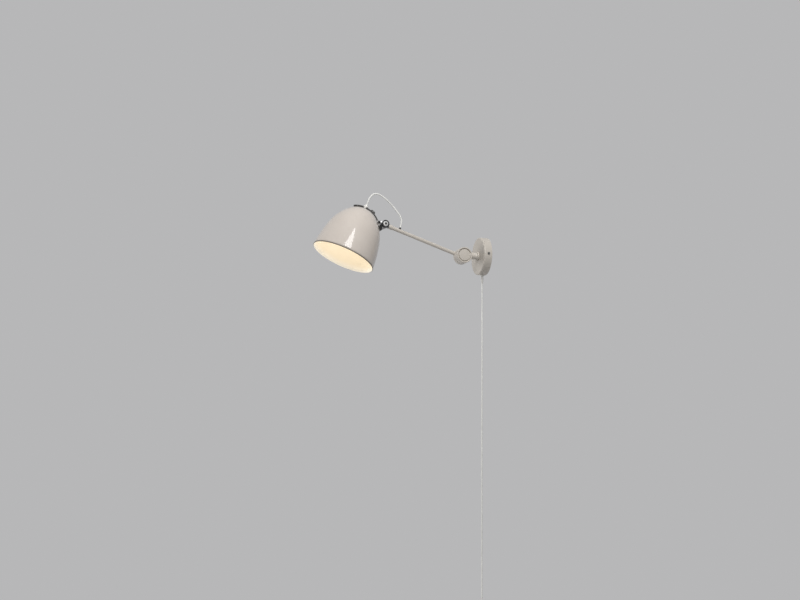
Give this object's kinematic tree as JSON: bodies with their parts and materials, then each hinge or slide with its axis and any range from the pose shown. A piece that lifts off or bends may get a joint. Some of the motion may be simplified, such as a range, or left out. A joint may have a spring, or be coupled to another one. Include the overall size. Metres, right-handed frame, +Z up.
{
  "type": "wall lamp",
  "caption": "Wall reading lamp: round canopy, swivelling elbow arm, tilting bell shade with a strap and knob, hanging cord with in-line switch and plug.",
  "frame": {"origin": "centre of the canopy's back, on the wall plane", "axes": "+Z up, +Y into the wall, so the lamp stands out towards -Y; +X to the right of someone facing the wall"},
  "size_m": [0.1695, 0.468, 1.2483],
  "materials": {
    "frame_paint": "satin",
    "shade_paint": "satin",
    "strap_metal": "satin",
    "chrome": "polished",
    "steel": "brushed",
    "brass": "satin",
    "cord": "matte",
    "white_plastic": "gloss",
    "dark_rubber": "matte",
    "holder_plastic": "satin",
    "bulb_glass": "frosted"
  },
  "bodies": {
    "wall": {"wall_bracket": "steel", "canopy": "frame_paint", "canopy_screws": "steel", "cord_gland": "white_plastic", "clamp_base": "white_plastic", "clamp_bar": "white_plastic", "clamp_screws": "steel", "terminal_block": "white_plastic", "terminal_screws": "brass", "canopy_leads": "cord", "supply_cord": "cord", "switch_base": "white_plastic", "switch_cover": "white_plastic", "switch_screws": "steel", "switch_contacts": "brass", "cord_coil": "cord", "coil_tie": "dark_rubber", "plug_body": "white_plastic", "plug_pins": "steel"},
    "neck": {"neck_knuckle": "frame_paint", "neck_stud": "steel", "neck_washer": "steel", "neck_nut": "steel", "neck_face_cap": "frame_paint", "elbow_bolt": "steel", "elbow_friction_washer": "dark_rubber", "elbow_spring_washer": "steel", "elbow_nut": "steel", "neck_cable": "cord"},
    "arm": {"arm_knuckle": "frame_paint", "arm_face_cap": "frame_paint", "arm_tube": "frame_paint", "arm_cable": "cord", "arm_grommet": "dark_rubber", "arm_eye": "chrome"},
    "head": {"head_fork": "chrome", "tilt_knob": "chrome", "tilt_nut": "chrome", "tilt_washers": "steel", "fork_screw": "steel", "shade_strap": "strap_metal", "strap_bolt": "steel", "strap_nut": "chrome", "shade": "shade_paint", "cord_grip": "white_plastic", "shade_nipple": "steel", "shade_lock_nut": "steel", "holder_cap": "holder_plastic", "holder_body": "holder_plastic", "holder_insert": "white_plastic", "holder_ring": "holder_plastic", "holder_shell": "brass", "holder_contact": "brass", "bulb_glass": "bulb_glass", "bulb_cap": "brass", "bulb_contact": "white_plastic", "loop_cord": "cord"},
    "rocker": {"switch_rocker": "white_plastic"}
  },
  "joints": [
    {"name": "base_swivel", "type": "hinge", "parent": "wall", "child": "neck", "pos_m": [0, -0.022, 0], "axis": [0, 1, 0], "range_deg": [-90, 90]},
    {"name": "arm_tilt", "type": "hinge", "parent": "neck", "child": "arm", "pos_m": [-0.00985, -0.062, 0], "axis": [1, 0, 0], "range_deg": [-45, 60]},
    {"name": "head_tilt", "type": "hinge", "parent": "arm", "child": "head", "pos_m": [-0.01685, -0.27884, 0.07046], "axis": [1, 0, 0], "range_deg": [-75, 60], "deforming": ["loop_cord"]},
    {"name": "switch_rock", "type": "hinge", "parent": "wall", "child": "rocker", "pos_m": [0, -0.0145, -0.94145], "axis": [1, 0, 0], "range_deg": [0, 14]}
  ]
}
